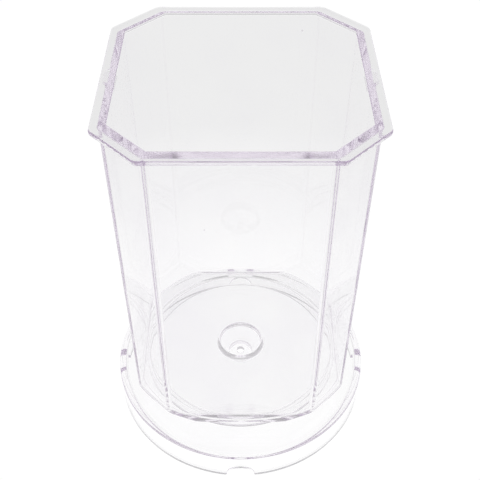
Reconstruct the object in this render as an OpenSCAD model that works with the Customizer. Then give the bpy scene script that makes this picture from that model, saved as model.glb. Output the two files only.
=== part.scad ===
// Clear moulded candle mould: an eight-sided, slightly tapered cup with a flanged
// mouth, lower corners cut round like a nut's, a domed tip with a wick hole in its
// floor, and a round foot ring that drops over a low boss on a loose round stand.
// Origin: centre of the stand's underside. +Z runs up the mould's axis.

/* [Stand] */
// Height of the stand, from its underside to its flat top
stand_h = 11.3; // [8:0.1:16]
// Outer radius of the stand
stand_r = 41.8; // [38:0.1:48]
// Wall and plate thickness of the stand
stand_wall = 2; // [1.6:0.1:3]
// Rounding of the stand's upper edge
stand_round = 1.8; // [0.6:0.1:1.9]
// Radius of each half-round notch in the stand's lower edge
notch_r = 4.5; // [3:0.1:6]
// Number of notches in the stand's lower edge
notches = 4; // [2:1:6]
// Height of the low boss that centres the foot ring
boss_h = 0.6; // [0.4:0.1:2]
// Radius of the hole that the domed tip reaches into
hole_r = 4.4; // [4.2:0.1:8]

/* [Foot] */
// Outer radius of the foot ring under the cup
foot_r = 31; // [30.5:0.1:32]
// Inner radius of the foot ring
foot_bore_r = 29.8; // [26:0.1:29.9]
// Radial running clearance between the foot ring and the boss
boss_gap = 0.05; // [0.02:0.01:0.1]
// Radius, at the stand's top, of the cone that cuts the cup's lower corners
cone_low_r = 30.9; // [30:0.1:31.5]
// Radius of that cone where it runs out of the cup's corners
cone_high_r = 39.3; // [38.8:0.1:40]
// Height above the stand at which the cone has run out
cone_h = 10.2; // [9:0.1:12]

/* [Cup] */
// Height of the eight-sided cup, from the stand to the top of its rim
cup_h = 110.9; // [80:0.1:140]
// Half of the cup's width at the top, outside the wall
cup_top_half = 33; // [32:0.05:34]
// Half of the cup's width at the foot, outside the wall
cup_low_half = 32.4; // [31.5:0.05:32.8]
// Leg of the cut corner at the top, along each side
cup_top_cut = 11.2; // [9:0.1:13]
// Leg of the cut corner at the foot, along each side
cup_low_cut = 10.2; // [8:0.1:12]
// Wall thickness of the cup
cup_wall = 2; // [1.5:0.1:3]
// Height of the floor's upper face above the stand
floor_h = 7.6; // [6:0.1:9]
// Thickness of the cup's floor
floor_t = 2.6; // [1.6:0.1:3]

/* [Rim] */
// Half of the flange's width
rim_half = 35; // [34:0.1:37]
// Leg of the flange's cut corner
rim_cut = 11.5; // [10:0.1:13]
// Thickness of the flange
rim_t = 1.2; // [1:0.1:2.5]
// Width of the lug under the flange at the middle of two sides
lug_w = 5.2; // [4:0.1:12]
// Depth of a lug below the flange
lug_h = 1.2; // [1:0.1:4]
// Distance of a lug's outer face from the flange's edge
lug_back = 0.8; // [0.3:0.1:0.9]

/* [Tip and wick hole] */
// Inner radius of the domed tip below the floor
tip_r = 7; // [6:0.5:7.5]
// Height of the dome's centre above the floor
tip_lift = 0.4; // [0.3:0.1:1.5]
// Wall thickness of the domed tip
tip_wall = 1.4; // [1:0.1:1.5]
// Radius of the flat seat around the wick hole
seat_r = 2.6; // [2:0.1:3.5]
// Thickness of the seat around the wick hole
seat_t = 1.4; // [1:0.1:1.4]
// Radius of the wick hole
wick_r = 1.25; // [0.8:0.05:1.5]

/* [Hidden] */
$fn = 96;
slab = 0.2;
past = 1;
cup_z = stand_h;
floor_z = cup_z + floor_h;
under_z = floor_z - floor_t;
rim_z = cup_z + cup_h;
boss_r = foot_bore_r - boss_gap;
cone_slope = (cone_high_r - cone_low_r) / cone_h;
inner_cone_less = cup_wall * sqrt(1 + cone_slope * cone_slope);
inner_cut_less = cup_wall * (2 - sqrt(2));
tip_z = floor_z + tip_lift;
seat_z = tip_z - sqrt(tip_r * tip_r - seat_r * seat_r);
seat_low_z = seat_z - seat_t;

// Half width of the cup's outside at height z above the stand
function cup_half(z) = cup_low_half + (cup_top_half - cup_low_half) * z / cup_h;
// Leg of the cup's cut corner at height z above the stand
function cup_cut(z) = cup_low_cut + (cup_top_cut - cup_low_cut) * z / cup_h;

// Outline of a square with cut corners, centred on the axis
module cut_square(half, cut) {
    near = half - cut;
    polygon([
        [half, -near], [half, near], [near, half], [-near, half],
        [-half, near], [-half, -near], [-near, -half], [near, -half]
    ]);
}

// Solid with cut corners that tapers between two heights above the stand
module cup_block(low, high, inset, cut_less) {
    hull() {
        translate([0, 0, cup_z + low])
            linear_extrude(height = slab)
                cut_square(cup_half(low) - inset, cup_cut(low) - cut_less);
        translate([0, 0, cup_z + high - slab])
            linear_extrude(height = slab)
                cut_square(cup_half(high) - inset, cup_cut(high) - cut_less);
    }
}

// Flat flange around the mouth
module flange() {
    translate([0, 0, rim_z - rim_t])
        linear_extrude(height = rim_t)
            cut_square(rim_half, rim_cut);
}

// Small wedge-shaped lugs that stiffen the flange at the middle of two sides
module lugs() {
    wall_x = cup_top_half - cup_wall / 2;
    lip_x = rim_half - lug_back;
    lip_z = rim_z - rim_t / 2;
    lug_z = rim_z - rim_t - lug_h;
    for (side = [-1, 1])
        translate([0, lug_w / 2, 0])
            rotate([90, 0, 0])
                linear_extrude(height = lug_w)
                    polygon([
                        [side * wall_x, lip_z],
                        [side * lip_x, lip_z],
                        [side * lip_x, rim_z - rim_t - lug_back],
                        [side * cup_half(lug_z - cup_z), lug_z],
                        [side * wall_x, lug_z]
                    ]);
}

// Solid cone that cuts the cup's lower corners round, drawn in by less all over
module corner_cone(less) {
    translate([0, 0, cup_z])
        cylinder(
            h = cup_h + past,
            r1 = cone_low_r - less,
            r2 = cone_low_r - less + cone_slope * (cup_h + past)
        );
}

// Outside of the cup: the tapered block with its corners cut, and the foot ring
module cup_outside() {
    intersection() {
        cup_block(floor_h - floor_t, cup_h, 0, 0);
        corner_cone(0);
    }
    translate([0, 0, cup_z])
        cylinder(h = floor_h - floor_t / 2, r = foot_r);
}

// Inside of the cup, with the same round cut above its floor
module cup_inside() {
    intersection() {
        cup_block(floor_h, cup_h + past, cup_wall, inner_cut_less);
        corner_cone(inner_cone_less);
    }
}

// Hollow inside the foot ring
module foot_hollow() {
    translate([0, 0, cup_z - past])
        cylinder(h = under_z - cup_z + past, r = foot_bore_r);
}

// Outside of the domed tip, with a flat seat around the wick hole
module tip_outside() {
    intersection() {
        translate([0, 0, tip_z])
            sphere(r = tip_r + tip_wall);
        translate([0, 0, seat_low_z])
            cylinder(h = floor_z - floor_t / 2 - seat_low_z, r = tip_r + tip_wall);
    }
}

// Inside of the domed tip, cut flat where the wick hole starts
module tip_inside() {
    intersection() {
        translate([0, 0, tip_z])
            sphere(r = tip_r);
        translate([0, 0, seat_z])
            cylinder(h = floor_z - seat_z + slab, r = tip_r + past);
    }
}

// Straight hole for the wick, through the seat
module wick_hole() {
    translate([0, 0, seat_low_z - past])
        cylinder(h = seat_t + 2 * past, r = wick_r);
}

// Eight-sided cup with its flange, floor, domed tip and foot ring
module mould_body() {
    color("lavender", 0.35)
        difference() {
            union() {
                difference() {
                    union() {
                        cup_outside();
                        flange();
                        lugs();
                    }
                    foot_hollow();
                }
                tip_outside();
            }
            cup_inside();
            tip_inside();
            wick_hole();
        }
}

// Half of the stand's section: a flat plate with a low boss, a rounded edge and a skirt
module stand_section() {
    difference() {
        union() {
            translate([hole_r, 0])
                square([stand_r - stand_round - hole_r, stand_h]);
            translate([hole_r, 0])
                square([stand_r - hole_r, stand_h - stand_round]);
            translate([stand_r - stand_round, stand_h - stand_round])
                circle(r = stand_round);
            translate([hole_r, stand_h - stand_wall])
                square([boss_r - hole_r, stand_wall + boss_h]);
        }
        translate([0, -past])
            square([stand_r - stand_wall, stand_h - stand_wall + past]);
    }
}

// Round stand with half-round notches in its lower edge
module stand() {
    color("lavender", 0.35)
        difference() {
            rotate_extrude()
                stand_section();
            for (turn = [0:1:notches - 1])
                rotate([0, 0, 90 + turn * 360 / notches])
                    rotate([0, 90, 0])
                        cylinder(h = stand_r + past, r = notch_r);
        }
}

mould_body();
stand();
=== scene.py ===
"""A clear candle mould on its loose round stand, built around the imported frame. Metres, +Z up."""

import math

import bmesh
import bpy
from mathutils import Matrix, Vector


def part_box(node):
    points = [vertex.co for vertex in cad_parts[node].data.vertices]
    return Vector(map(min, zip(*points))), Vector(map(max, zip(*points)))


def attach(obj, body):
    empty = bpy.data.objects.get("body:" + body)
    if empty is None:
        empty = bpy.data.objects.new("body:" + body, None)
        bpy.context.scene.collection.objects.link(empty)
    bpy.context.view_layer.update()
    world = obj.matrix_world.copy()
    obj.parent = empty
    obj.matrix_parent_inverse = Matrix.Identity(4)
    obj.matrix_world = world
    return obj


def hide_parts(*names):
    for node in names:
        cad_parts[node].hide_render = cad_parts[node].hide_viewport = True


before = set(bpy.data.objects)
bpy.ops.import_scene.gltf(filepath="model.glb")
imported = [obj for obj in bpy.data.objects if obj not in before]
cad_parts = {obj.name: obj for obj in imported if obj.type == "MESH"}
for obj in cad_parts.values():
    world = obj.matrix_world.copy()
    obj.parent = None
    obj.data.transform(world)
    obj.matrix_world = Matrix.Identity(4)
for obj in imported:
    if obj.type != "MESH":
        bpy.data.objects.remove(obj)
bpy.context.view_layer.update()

MM = 0.001

# Places taken from the frame
CUP_LOW, CUP_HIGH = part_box("mould_body")
STAND_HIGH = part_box("stand")[1]
RIM_Z = CUP_HIGH.z
RIM_HALF = CUP_HIGH.x
STAND_R = STAND_HIGH.x
STAND_H = CUP_LOW.z

# Cup, as the CAD has it
CUP_HEIGHT = RIM_Z - STAND_H
TOP_HALF = 33.0 * MM
LOW_HALF = 32.4 * MM
TOP_CUT = 11.2 * MM
LOW_CUT = 10.2 * MM
RIM_CUT = 11.5 * MM
RIM_THICK = 1.2 * MM
WALL = 2.0 * MM
FLOOR_Z = STAND_H + 7.6 * MM
FLOOR_THICK = 2.6 * MM
UNDER_Z = FLOOR_Z - FLOOR_THICK
CONE_LOW_R = 30.9 * MM
CONE_SLOPE = (39.3 - 30.9) / 10.2
FOOT_R = 31.0 * MM
BORE_R = 29.8 * MM
LUG_HALF = 2.6 * MM
LUG_DEPTH = 1.2 * MM
LUG_BACK = 0.8 * MM
TIP_R = 7.0 * MM
TIP_WALL = 1.4 * MM
TIP_Z = FLOOR_Z + 0.4 * MM
SEAT_R = 2.6 * MM
SEAT_THICK = 1.4 * MM
WICK_R = 1.25 * MM
BUBBLE_R = 0.26 * MM

# Stand, as the CAD has it
STAND_WALL = 2.0 * MM
STAND_ROUND = 1.8 * MM
HOLE_R = 4.4 * MM
BOSS_R = 29.75 * MM
BOSS_H = 0.6 * MM
NOTCH_R = 4.5 * MM
NOTCHES = 4

# Gap between the foot ring's lower face and the stand's top
SEAT_GAP = 0.03 * MM

# Radii of the upright corners: outside the cup, inside it, and on the flange
CUP_CORNER_R = 3.0 * MM
INNER_CORNER_R = 1.0 * MM
RIM_CORNER_R = 2.4 * MM

# Roundings of the cup's section, from the wick hole outwards, up and back down inside
WICK_EDGE = 0.15 * MM
SEAT_EDGE = 0.3 * MM
TIP_ROOT = 0.4 * MM
RING_ROOT = 0.4 * MM
RING_EDGE = 0.2 * MM
LOWER_EDGE = 0.3 * MM
CONE_EDGE = 0.45 * MM
LUG_FINE = 0.1 * MM
LUG_EDGE = 0.15 * MM
LIP_ROOT = 0.4 * MM
RIM_UNDER_EDGE = 0.3 * MM
RIM_TOP_EDGE = 0.9 * MM
MOUTH_EDGE = 0.35 * MM
FLOOR_TURN = 0.5 * MM
TIP_RIM = 1.3 * MM
SEAT_INNER_EDGE = 0.2 * MM

# Least room that the lower edges leave for a rounding to sit in
OUTER_ROOM = 0.3 * MM
UPRIGHT_ROOM = 0.4 * MM
INNER_ROOM = 0.5 * MM

# Roundings of the stand's section
PLATE_UNDER_EDGE = 0.3 * MM
SKIRT_ROOT = 0.9 * MM
SKIRT_EDGE = 0.25 * MM
BOSS_ROOT = 0.1 * MM
BOSS_EDGE = 0.3 * MM

# Brightness of the floor as the camera sees it, and of the painted pool of light that the plastic sees on
# it, near and far
FLOOR_SEEN = 1.02
PAINTED_POOL_NEAR = 1.045
PAINTED_POOL_FAR = 0.85
NEAR_REACH = 30.0 * MM
FAR_REACH = 150.0 * MM
RISE_START = 300.0 * MM
RISE_END = 700.0 * MM

# Brightness of the tent at the horizon and overhead, and as the camera sees it
HORIZON = 0.96
OVERHEAD = 0.42
SKY_SEEN = 1.02

# Most turns that light caught in a wall may take
LIGHT_BOUNCES = 160

# Tint of the plastic, and how strongly it takes light up per metre
LILAC = (0.60, 0.42, 0.68)
TINT_DENSITY = 3.2

# How finely the outline of the cup, its roundings and its domed tip are divided
CORNER_STEPS = 8
LONG_STEPS = 24
SHORT_STEPS = 8
FILLET_STEPS = 4
SHELL_STEPS = 10
DOME_STEPS = 12
CONE_PASSES = 12
LUG_STEP = 0.06 * MM

# How finely the stand is divided
NOTCH_STEPS = 24
PLAIN_STEPS = 40
EDGE_STEPS = 8

# The floor: its radius, and how far it lies below the stand
FLOOR_RADIUS = 12.0
FLOOR_DROP = 0.02 * MM


# ---------------------------------------------------------------- outlines and grids


def side_shares(steps, half_length):
    """Shares of a side, from 0 to 1, at which its outline has points."""
    shares = [step / steps for step in range(1, steps)]
    if steps == LONG_STEPS:
        for place in (LUG_HALF - LUG_STEP, LUG_HALF + LUG_STEP):
            for way in (-1, 1):
                shares.append(0.5 + way * place / (2 * half_length))
    return sorted(shares)


def cut_square(half, cut, radius):
    """Outline of a square with cut and rounded corners, always with the same number of points."""
    near = half - cut
    corners = [
        Vector(p)
        for p in (
            (half, -near), (half, near), (near, half), (-near, half),
            (-half, near), (-half, -near), (-near, -half), (near, -half),
        )
    ]
    tangent = radius * math.tan(math.radians(22.5))
    points = []
    for index, corner in enumerate(corners):
        before = (corner - corners[index - 1]).normalized()
        after = corners[(index + 1) % 8] - corner
        length = after.length
        after.normalize()
        inward = Vector((-before.y, before.x))
        centre = corner - before * tangent + inward * radius
        for step in range(CORNER_STEPS + 1):
            turn = math.radians(45 * step / CORNER_STEPS)
            out = -inward * math.cos(turn) + before * math.sin(turn)
            points.append(centre + out * radius)
        start = corner + after * tangent
        straight = length - 2 * tangent
        steps = LONG_STEPS if index % 2 == 0 else SHORT_STEPS
        for share in side_shares(steps, TOP_HALF - TOP_CUT):
            points.append(start + after * straight * share)
    return points


def bend(before, corner, after, size):
    """Points of the rounding of one corner of a section."""
    back = before - corner
    ahead = after - corner
    start = corner + back.normalized() * min(size, back.length * 0.48)
    end = corner + ahead.normalized() * min(size, ahead.length * 0.48)
    points = []
    for step in range(FILLET_STEPS + 1):
        t = step / FILLET_STEPS
        points.append(start * (1 - t) ** 2 + corner * 2 * t * (1 - t) + end * t * t)
    return points


def section(corners):
    """Closed section from (point, rounding) pairs. A rounding of None keeps the point as it is."""
    points = []
    count = len(corners)
    for index, (point, size) in enumerate(corners):
        if size is None:
            points.append(point)
        else:
            before = corners[index - 1][0]
            after = corners[(index + 1) % count][0]
            points.extend(bend(before, point, after, size))
    return points


def grid_mesh(name, sections):
    """Closed mesh through a ring of closed sections that all have the same number of points."""
    mesh = bpy.data.meshes.new(name)
    rows = len(sections[0])
    points = [point for column in sections for point in column]
    faces = []
    for column in range(len(sections)):
        here = column * rows
        there = (column + 1) % len(sections) * rows
        for row in range(rows):
            above = (row + 1) % rows
            faces.append((here + row, there + row, there + above, here + above))
    mesh.from_pydata(points, [], faces)
    mesh.update()
    return mesh


def finish_mesh(mesh):
    """Drops doubled points, turns all faces outwards and shades them smooth."""
    shape = bmesh.new()
    shape.from_mesh(mesh)
    bmesh.ops.remove_doubles(shape, verts=shape.verts, dist=0.0005 * MM)
    bmesh.ops.recalc_face_normals(shape, faces=shape.faces)
    if shape.calc_volume(signed=True) < 0:
        bmesh.ops.reverse_faces(shape, faces=shape.faces)
    for face in shape.faces:
        face.smooth = True
    shape.to_mesh(mesh)
    shape.free()
    mesh.update()


def add_piece(name, mesh, body, node, material):
    """Puts a finished mesh in the scene as the piece that stands for a CAD node."""
    piece = bpy.data.objects.new(name, mesh)
    bpy.context.scene.collection.objects.link(piece)
    mesh.materials.append(material)
    normals = piece.modifiers.new("flat_faces_stay_flat", "WEIGHTED_NORMAL")
    normals.mode = "FACE_AREA"
    normals.weight = 50
    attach(piece, body)
    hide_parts(node)
    return piece


# ---------------------------------------------------------------- the cup


def cup_outline(z, inset, radius):
    """Outline of the cup's wall at height z, drawn in by inset."""
    share = (z - STAND_H) / CUP_HEIGHT
    half = LOW_HALF + (TOP_HALF - LOW_HALF) * share - inset
    cut = LOW_CUT + (TOP_CUT - LOW_CUT) * share - inset * (2 - math.sqrt(2))
    return cut_square(half, cut, radius)


def cone_radius(z, inset):
    """Radius at height z of the cone that cuts the cup's lower edges round."""
    along = inset * math.sqrt(1 + CONE_SLOPE ** 2)
    return CONE_LOW_R - along + CONE_SLOPE * (z - STAND_H)


def cone_height(radius, inset):
    """Height at which that cone has this radius."""
    along = inset * math.sqrt(1 + CONE_SLOPE ** 2)
    return STAND_H + (radius - CONE_LOW_R + along) / CONE_SLOPE


class Wall:
    """One face of the cup's wall: straight columns between an outline low down and one high up."""

    def __init__(self, inset, radius):
        self.inset = inset
        self.low = cup_outline(STAND_H, inset, radius)
        self.high = cup_outline(RIM_Z, inset, radius)

    def at(self, column, z):
        share = (z - STAND_H) / CUP_HEIGHT
        flat = self.low[column].lerp(self.high[column], share)
        return Vector((flat.x, flat.y, z))

    def meets_cone(self, column):
        """Height at which this column meets the cone."""
        z = FLOOR_Z
        for _ in range(CONE_PASSES):
            point = self.at(column, z)
            z = cone_height(math.hypot(point.x, point.y), self.inset)
        return z


def polar(direction, radius, z):
    """Point at this radius and height, in the direction of a flat unit vector."""
    return Vector((direction.x * radius, direction.y * radius, z))


def dome(direction, radius, low_r, high_r, steps):
    """Points along the domed tip's section, from its radius low_r up to high_r."""
    low = math.asin(low_r / radius)
    high = math.asin(high_r / radius)
    points = []
    for step in range(steps + 1):
        angle = low + (high - low) * step / steps
        points.append(polar(direction, radius * math.sin(angle), TIP_Z - radius * math.cos(angle)))
    return points


def lower_edge(column, outer):
    """The cup's lower outer edge: cut by the cone near a corner, plain along a side's middle."""
    cone_z = outer.meets_cone(column)
    low = outer.at(column, UNDER_Z)
    low_r = math.hypot(low.x, low.y)
    if cone_z > UNDER_Z + OUTER_ROOM:
        out = Vector((low.x, low.y)).normalized()
        under_r = min(cone_radius(UNDER_Z, 0), low_r - OUTER_ROOM)
        under = polar(out, under_r, UNDER_Z)
        side = outer.at(column, cone_z)
    else:
        under = low
        side = outer.at(column, UNDER_Z + UPRIGHT_ROOM)
    return [(under, LOWER_EDGE), (side, CONE_EDGE)]


def cup_section(column, outer, inner, rim):
    """Section of the whole cup at one column of its outline, from the wick hole outwards and back."""
    under_lip = RIM_Z - RIM_THICK
    low = outer.at(column, STAND_H)
    out = Vector((low.x, low.y)).normalized()
    seat_z = TIP_Z - math.sqrt(TIP_R ** 2 - SEAT_R ** 2)
    seat_low = seat_z - SEAT_THICK
    shell_r = TIP_R + TIP_WALL
    shell_low_r = math.sqrt(shell_r ** 2 - (TIP_Z - seat_low) ** 2)
    shell_high_r = math.sqrt(shell_r ** 2 - (TIP_Z - UNDER_Z) ** 2)
    tip_rim_r = math.sqrt(TIP_R ** 2 - (TIP_Z - FLOOR_Z) ** 2)

    corners = [(polar(out, WICK_R, seat_low), WICK_EDGE)]
    shell = dome(out, shell_r, shell_low_r, shell_high_r, SHELL_STEPS)
    corners += [(shell[0], SEAT_EDGE)]
    corners += [(point, None) for point in shell[1:-1]]
    corners += [
        (shell[-1], TIP_ROOT),
        (polar(out, BORE_R, UNDER_Z), RING_ROOT),
        (polar(out, BORE_R, STAND_H + SEAT_GAP), RING_EDGE),
        (polar(out, FOOT_R, STAND_H + SEAT_GAP), RING_EDGE),
        (polar(out, FOOT_R, UNDER_Z), RING_EDGE),
    ]
    corners += lower_edge(column, outer)

    lug_z = under_lip - LUG_DEPTH
    corners.append((outer.at(column, lug_z), LUG_FINE))
    at_lip = outer.at(column, under_lip)
    on_lug = abs(at_lip.y) < LUG_HALF and abs(at_lip.x) > TOP_HALF - WALL
    if on_lug:
        side = math.copysign(RIM_HALF - LUG_BACK, at_lip.x)
        corners += [
            (Vector((side, at_lip.y, under_lip - LUG_BACK)), LUG_EDGE),
            (Vector((side, at_lip.y, under_lip)), LUG_FINE),
        ]
    else:
        corners += [
            (outer.at(column, under_lip - LUG_BACK), LUG_FINE),
            (at_lip, LIP_ROOT),
        ]

    edge = rim[column]
    corners += [
        (Vector((edge.x, edge.y, under_lip)), RIM_UNDER_EDGE),
        (Vector((edge.x, edge.y, RIM_Z)), RIM_TOP_EDGE),
        (inner.at(column, RIM_Z), MOUTH_EDGE),
    ]

    turn_z = max(inner.meets_cone(column), FLOOR_Z + UPRIGHT_ROOM)
    corners.append((inner.at(column, turn_z), FLOOR_TURN))
    low_in = inner.at(column, FLOOR_Z)
    low_r = math.hypot(low_in.x, low_in.y)
    floor_r = min(cone_radius(FLOOR_Z, WALL), low_r - INNER_ROOM)
    floor_edge = Vector((low_in.x, low_in.y)).normalized()
    corners += [
        (polar(floor_edge, floor_r, FLOOR_Z), FLOOR_TURN),
        (polar(out, tip_rim_r, FLOOR_Z), TIP_RIM),
    ]
    inside = dome(out, TIP_R, SEAT_R, tip_rim_r, DOME_STEPS)
    corners += [(point, None) for point in reversed(inside[1:-1])]
    corners += [
        (inside[0], SEAT_INNER_EDGE),
        (polar(out, WICK_R, seat_z), WICK_EDGE),
    ]
    return section(corners)


def add_bubbles(mesh):
    """Adds small air bubbles: two inside the rear wall and one at the wall of the domed tip."""
    places = ((17.5, 31.9, 116.5), (-12.7, 31.5, 40.0), (-3.5, 5.6, 17.8))
    shape = bmesh.new()
    shape.from_mesh(mesh)
    for place in places:
        made = bmesh.ops.create_icosphere(shape, subdivisions=2, radius=BUBBLE_R)
        faces = {face for vert in made["verts"] for face in vert.link_faces}
        for face in faces:
            face.smooth = True
        bmesh.ops.reverse_faces(shape, faces=list(faces))
        bmesh.ops.translate(shape, verts=made["verts"], vec=Vector(place) * MM)
    shape.to_mesh(mesh)
    shape.free()
    mesh.update()


def build_cup(material):
    """The whole cup as one closed mesh."""
    outer = Wall(0.0, CUP_CORNER_R)
    inner = Wall(WALL, INNER_CORNER_R)
    rim = cut_square(RIM_HALF, RIM_CUT, RIM_CORNER_R)
    columns = [cup_section(column, outer, inner, rim) for column in range(len(rim))]
    mesh = grid_mesh("clear_cup", columns)
    finish_mesh(mesh)
    add_bubbles(mesh)
    return add_piece("clear_cup", mesh, "mould", "mould_body", material)


# ---------------------------------------------------------------- the stand


def notch_height(angle):
    """Height of the stand's lower edge at this angle about the axis."""
    pitch = 2 * math.pi / NOTCHES
    away = (angle + pitch / 2) % pitch - pitch / 2
    across = abs(STAND_R * math.sin(away))
    if across >= NOTCH_R:
        return 0.0
    return math.sqrt(NOTCH_R ** 2 - across ** 2)


def stand_angles():
    """Angles of the stand's columns, close together where a notch's edge is steep."""
    pitch = 2 * math.pi / NOTCHES
    half_notch = math.asin(NOTCH_R / STAND_R)
    angles = []
    for notch in range(NOTCHES):
        middle = notch * pitch
        for step in range(NOTCH_STEPS + 1):
            turn = math.pi * step / NOTCH_STEPS
            across = -NOTCH_R * math.cos(turn)
            angles.append(middle + math.asin(across / STAND_R))
        plain = pitch - 2 * half_notch
        for step in range(1, PLAIN_STEPS):
            angles.append(middle + half_notch + plain * step / PLAIN_STEPS)
    return angles


def stand_section(angle):
    """Section of the stand at one angle about its axis."""
    out = Vector((math.cos(angle), math.sin(angle)))
    low = notch_height(angle)
    inside_r = STAND_R - STAND_WALL
    under_plate = STAND_H - STAND_WALL
    corners = [
        (polar(out, HOLE_R, under_plate), PLATE_UNDER_EDGE),
        (polar(out, inside_r, under_plate), SKIRT_ROOT),
        (polar(out, inside_r, low), SKIRT_EDGE),
        (polar(out, STAND_R, low), SKIRT_EDGE),
    ]
    for step in range(EDGE_STEPS + 1):
        turn = math.pi / 2 * step / EDGE_STEPS
        radius = STAND_R - STAND_ROUND + STAND_ROUND * math.cos(turn)
        z = STAND_H - STAND_ROUND + STAND_ROUND * math.sin(turn)
        corners.append((polar(out, radius, z), None))
    corners += [
        (polar(out, BOSS_R, STAND_H), BOSS_ROOT),
        (polar(out, BOSS_R, STAND_H + BOSS_H), BOSS_EDGE),
        (polar(out, HOLE_R, STAND_H + BOSS_H), BOSS_EDGE),
    ]
    return section(corners)


def build_stand(material):
    """The whole stand as one closed mesh."""
    mesh = grid_mesh("clear_stand", [stand_section(angle) for angle in stand_angles()])
    finish_mesh(mesh)
    return add_piece("clear_stand", mesh, "stand", "stand", material)


# ---------------------------------------------------------------- materials


def clear_plastic(name, absorb, density):
    """Clear moulded plastic: faintly wavy, unevenly polished, and tinted where light goes far in it."""
    material = bpy.data.materials.new(name)
    material.use_nodes = True
    tree = material.node_tree
    tree.nodes.clear()
    new = tree.nodes.new
    link = tree.links.new

    output = new("ShaderNodeOutputMaterial")
    shader = new("ShaderNodeBsdfPrincipled")
    shader.inputs["IOR"].default_value = 1.585
    shader.inputs["Transmission Weight"].default_value = 1.0
    link(shader.outputs["BSDF"], output.inputs["Surface"])

    volume = new("ShaderNodeVolumeAbsorption")
    volume.inputs["Color"].default_value = (*absorb, 1.0)
    volume.inputs["Density"].default_value = density
    link(volume.outputs["Volume"], output.inputs["Volume"])

    place = new("ShaderNodeTexCoord")

    # Faint clouding of the surface's own colour
    cloud = new("ShaderNodeTexNoise")
    cloud.inputs["Scale"].default_value = 45.0
    cloud.inputs["Detail"].default_value = 3.0
    link(place.outputs["Object"], cloud.inputs["Vector"])
    tint = new("ShaderNodeValToRGB")
    tint.color_ramp.elements[0].position = 0.35
    tint.color_ramp.elements[0].color = (0.985, 0.982, 0.99, 1.0)
    tint.color_ramp.elements[1].position = 0.65
    tint.color_ramp.elements[1].color = (1.0, 1.0, 1.0, 1.0)
    link(cloud.outputs["Fac"], tint.inputs["Fac"])
    link(tint.outputs["Color"], shader.inputs["Base Color"])

    # Polish that is a little less even in places
    smear = new("ShaderNodeTexNoise")
    smear.inputs["Scale"].default_value = 130.0
    smear.inputs["Detail"].default_value = 5.0
    link(place.outputs["Object"], smear.inputs["Vector"])
    polish = new("ShaderNodeMapRange")
    polish.inputs["From Min"].default_value = 0.4
    polish.inputs["From Max"].default_value = 0.8
    polish.inputs["To Min"].default_value = 0.0
    polish.inputs["To Max"].default_value = 0.05
    link(smear.outputs["Fac"], polish.inputs["Value"])
    link(polish.outputs["Result"], shader.inputs["Roughness"])

    # Slow waves of the moulded surface
    wave = new("ShaderNodeTexNoise")
    wave.inputs["Scale"].default_value = 30.0
    wave.inputs["Detail"].default_value = 1.5
    link(place.outputs["Object"], wave.inputs["Vector"])
    relief = new("ShaderNodeBump")
    relief.inputs["Strength"].default_value = 0.05
    relief.inputs["Distance"].default_value = 0.0012
    link(wave.outputs["Fac"], relief.inputs["Height"])
    link(relief.outputs["Normal"], shader.inputs["Normal"])
    return material


# ---------------------------------------------------------------- stage, light and camera


def painted_light_pool(tree):
    """Brightness of the floor as the plastic sees it: a painted pool of light that fades, then meets the
    horizon.
    """
    place = tree.nodes.new("ShaderNodeTexCoord")
    reach = tree.nodes.new("ShaderNodeVectorMath")
    reach.operation = "LENGTH"
    tree.links.new(place.outputs["Object"], reach.inputs[0])
    # Painted pool of light: the floor's glow is brightest near the mould and fades outwards
    fade = tree.nodes.new("ShaderNodeMapRange")
    fade.inputs["From Min"].default_value = NEAR_REACH
    fade.inputs["From Max"].default_value = FAR_REACH
    fade.inputs["To Min"].default_value = PAINTED_POOL_NEAR
    fade.inputs["To Max"].default_value = PAINTED_POOL_FAR
    tree.links.new(reach.outputs["Value"], fade.inputs["Value"])
    rise = tree.nodes.new("ShaderNodeMapRange")
    rise.inputs["From Min"].default_value = RISE_START
    rise.inputs["From Max"].default_value = RISE_END
    rise.inputs["To Min"].default_value = 0.0
    rise.inputs["To Max"].default_value = HORIZON - PAINTED_POOL_FAR
    tree.links.new(reach.outputs["Value"], rise.inputs["Value"])
    total = tree.nodes.new("ShaderNodeMath")
    total.operation = "ADD"
    tree.links.new(fade.outputs["Result"], total.inputs[0])
    tree.links.new(rise.outputs["Result"], total.inputs[1])
    return total.outputs["Value"]


def build_floor():
    """A white floor that glows: even to the camera, and to the plastic a painted pool of light, brighter
    near the mould.
    """
    mesh = bpy.data.meshes.new("floor")
    shape = bmesh.new()
    bmesh.ops.create_circle(shape, cap_ends=True, segments=64, radius=FLOOR_RADIUS)
    shape.to_mesh(mesh)
    shape.free()
    floor = bpy.data.objects.new("floor", mesh)
    floor.location.z = -FLOOR_DROP
    bpy.context.scene.collection.objects.link(floor)
    material = bpy.data.materials.new("floor_white_painted_pool")
    material.use_nodes = True
    tree = material.node_tree
    tree.nodes.clear()
    output = tree.nodes.new("ShaderNodeOutputMaterial")
    glow = tree.nodes.new("ShaderNodeEmission")
    path = tree.nodes.new("ShaderNodeLightPath")
    pick = tree.nodes.new("ShaderNodeMix")
    pick.data_type = "FLOAT"
    tree.links.new(path.outputs["Is Camera Ray"], pick.inputs["Factor"])
    # Rays from the plastic see the painted pool of light, camera rays see the even white
    tree.links.new(painted_light_pool(tree), pick.inputs["A"])
    pick.inputs["B"].default_value = FLOOR_SEEN
    tree.links.new(pick.outputs["Result"], glow.inputs["Strength"])
    tree.links.new(glow.outputs["Emission"], output.inputs["Surface"])
    mesh.materials.append(material)




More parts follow.
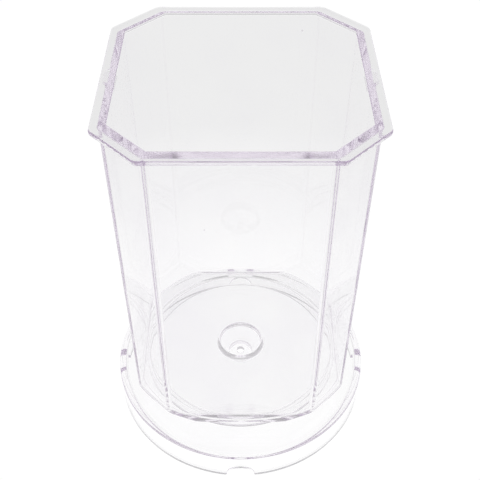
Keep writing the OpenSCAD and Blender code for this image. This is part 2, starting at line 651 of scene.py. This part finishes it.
def build_world():
    """Soft light all round: pale at the horizon and darker overhead."""
    world = bpy.data.worlds.new("light_tent")
    bpy.context.scene.world = world
    world.use_nodes = True
    tree = world.node_tree
    tree.nodes.clear()
    output = tree.nodes.new("ShaderNodeOutputWorld")
    back = tree.nodes.new("ShaderNodeBackground")
    place = tree.nodes.new("ShaderNodeTexCoord")
    split = tree.nodes.new("ShaderNodeSeparateXYZ")
    ramp = tree.nodes.new("ShaderNodeValToRGB")
    ramp.color_ramp.elements[0].position = 0.0
    ramp.color_ramp.elements[0].color = (HORIZON, HORIZON, HORIZON, 1.0)
    ramp.color_ramp.elements[1].position = 0.9
    ramp.color_ramp.elements[1].color = (OVERHEAD, OVERHEAD, OVERHEAD, 1.0)
    tree.links.new(place.outputs["Generated"], split.inputs["Vector"])
    tree.links.new(split.outputs["Z"], ramp.inputs["Fac"])
    path = tree.nodes.new("ShaderNodeLightPath")
    pick = tree.nodes.new("ShaderNodeMix")
    pick.data_type = "RGBA"
    tree.links.new(path.outputs["Is Camera Ray"], pick.inputs["Factor"])
    tree.links.new(ramp.outputs["Color"], pick.inputs["A"])
    pick.inputs["B"].default_value = (SKY_SEEN, SKY_SEEN, SKY_SEEN, 1.0)
    tree.links.new(pick.outputs["Result"], back.inputs["Color"])
    tree.links.new(back.outputs["Background"], output.inputs["Surface"])


def build_camera():
    """Looks down into the cup from the front, from nearly twice its height."""
    data = bpy.data.cameras.new("camera")
    data.lens = 58.87
    data.sensor_width = 36.0
    data.shift_x = -0.0011
    camera = bpy.data.objects.new("camera", data)
    camera.location = (0.0, -168.86 * MM, 229.13 * MM)
    camera.rotation_euler = (math.radians(45.72), 0.0, 0.0)
    bpy.context.scene.collection.objects.link(camera)
    bpy.context.scene.camera = camera


def set_light_paths():
    """Enough bounces for light that runs a long way inside the walls, and plain colours."""
    scene = bpy.context.scene
    scene.cycles.max_bounces = LIGHT_BOUNCES
    scene.cycles.transmission_bounces = LIGHT_BOUNCES
    scene.cycles.glossy_bounces = LIGHT_BOUNCES
    scene.view_settings.view_transform = "Standard"
    scene.view_settings.look = "None"


build_camera()
build_floor()
build_world()
set_light_paths()
build_cup(clear_plastic("clear_cup_plastic", LILAC, TINT_DENSITY))
build_stand(clear_plastic("clear_stand_plastic", LILAC, TINT_DENSITY))
